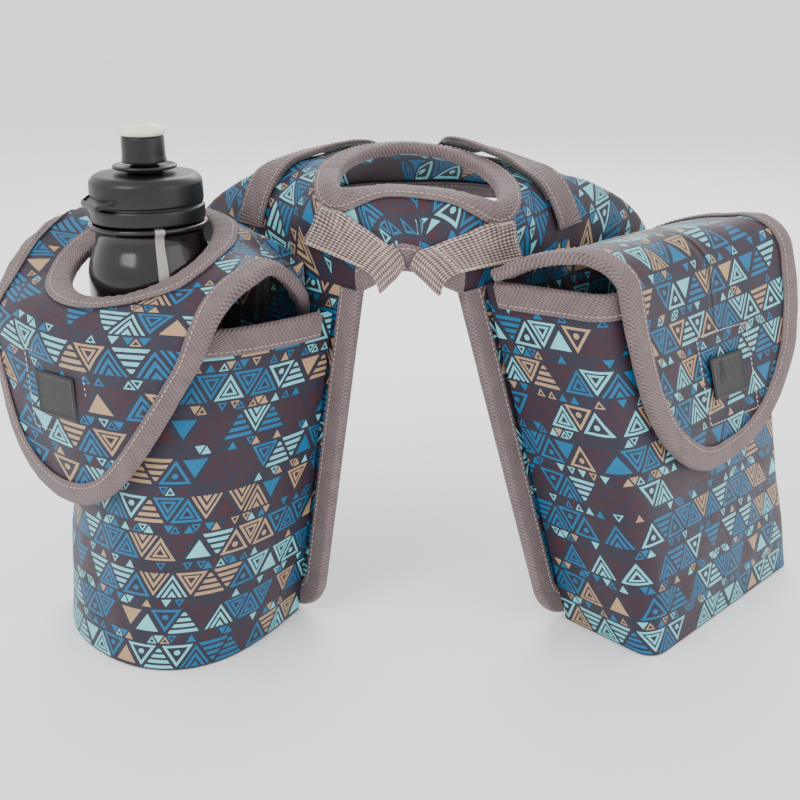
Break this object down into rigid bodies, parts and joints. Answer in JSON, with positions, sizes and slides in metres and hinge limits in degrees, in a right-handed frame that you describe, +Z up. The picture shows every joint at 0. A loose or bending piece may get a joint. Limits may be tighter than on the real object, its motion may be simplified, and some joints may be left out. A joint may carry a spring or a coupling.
{
  "type": "saddle horn bag",
  "caption": "Saddle horn bag: padded yoke with a horn hole between a round bottle pocket with its sports bottle and a box lunch pocket, both with flaps",
  "frame": {"origin": "centre of the bounding box in plan, on the plane of the pocket floors", "axes": "+Z up, -Y to the front, where the two back panels come together at the throat, +X to the lunch pocket"},
  "size_m": [0.5306, 0.2336, 0.3214],
  "materials": {
    "print": "foam-laminated woven polyester with a small triangle print, matt",
    "binding": "ribbed taupe binding tape with a stitch line",
    "webbing": "taupe webbing with a coarse rib",
    "hook": "black hook-and-loop tape",
    "mesh": "black open mesh",
    "label": "black rubber, bare, with a raised border",
    "bottle": "dark smoke polyethylene, glossy",
    "cap": "black polypropylene",
    "seal": "soft white seal",
    "tip": "cream soft plastic"
  },
  "bodies": {
    "root": {"yoke_panel": "print", "horn_hole_binding": "binding", "throat_binding": "binding", "yoke_rear_binding": "binding", "left_back_panel": "print", "left_back_panel_binding": "binding", "right_back_panel": "print", "right_back_panel_binding": "binding", "left_webbing_tab": "webbing", "right_webbing_tab": "webbing", "left_tie_strap": "webbing", "right_tie_strap": "webbing", "left_hook_tape": "hook", "right_hook_tape": "hook", "bottle_pocket_wall": "print", "bottle_pocket_floor": "print", "bottle_pocket_top_binding": "binding", "bottle_flap": "print", "bottle_flap_binding": "binding", "bottle_hole_binding": "binding", "bottle_flap_label": "label", "bottle_flap_hook_patch": "hook", "bottle_pocket_loop_patch": "hook", "lunch_pocket_wall": "print", "lunch_pocket_floor": "print", "lunch_pocket_top_binding": "binding", "lunch_flap": "print", "lunch_flap_binding": "binding", "lunch_flap_label": "label", "lunch_flap_hook_patch": "hook", "lunch_pocket_loop_patch": "hook", "side_mesh_pocket": "mesh", "side_mesh_binding": "binding", "bottle_body": "bottle"},
    "screw_cap_rise": {"cap_seal": "seal"},
    "screw_cap": {"bottle_cap": "cap"},
    "spout": {"spout_sleeve": "cap", "spout_tip": "tip"}
  },
  "joints": [
    {"name": "cap_rise", "type": "slide", "parent": "root", "child": "screw_cap_rise", "axis": [0, 0, 1], "range_m": [0, 0.0091]},
    {"name": "cap_turn", "type": "hinge", "parent": "screw_cap_rise", "child": "screw_cap", "pos_m": [-0.16397, -0.02956, 0.2656], "axis": [0, 0, 1], "range_deg": [0, 810]},
    {"name": "spout_slide", "type": "slide", "parent": "screw_cap", "child": "spout", "axis": [0, 0, 1], "range_m": [0, 0.006]}
  ],
  "couplings": [
    {"joint": "cap_rise", "follows": "cap_turn", "m_per_rad": 0.00063662}
  ]
}
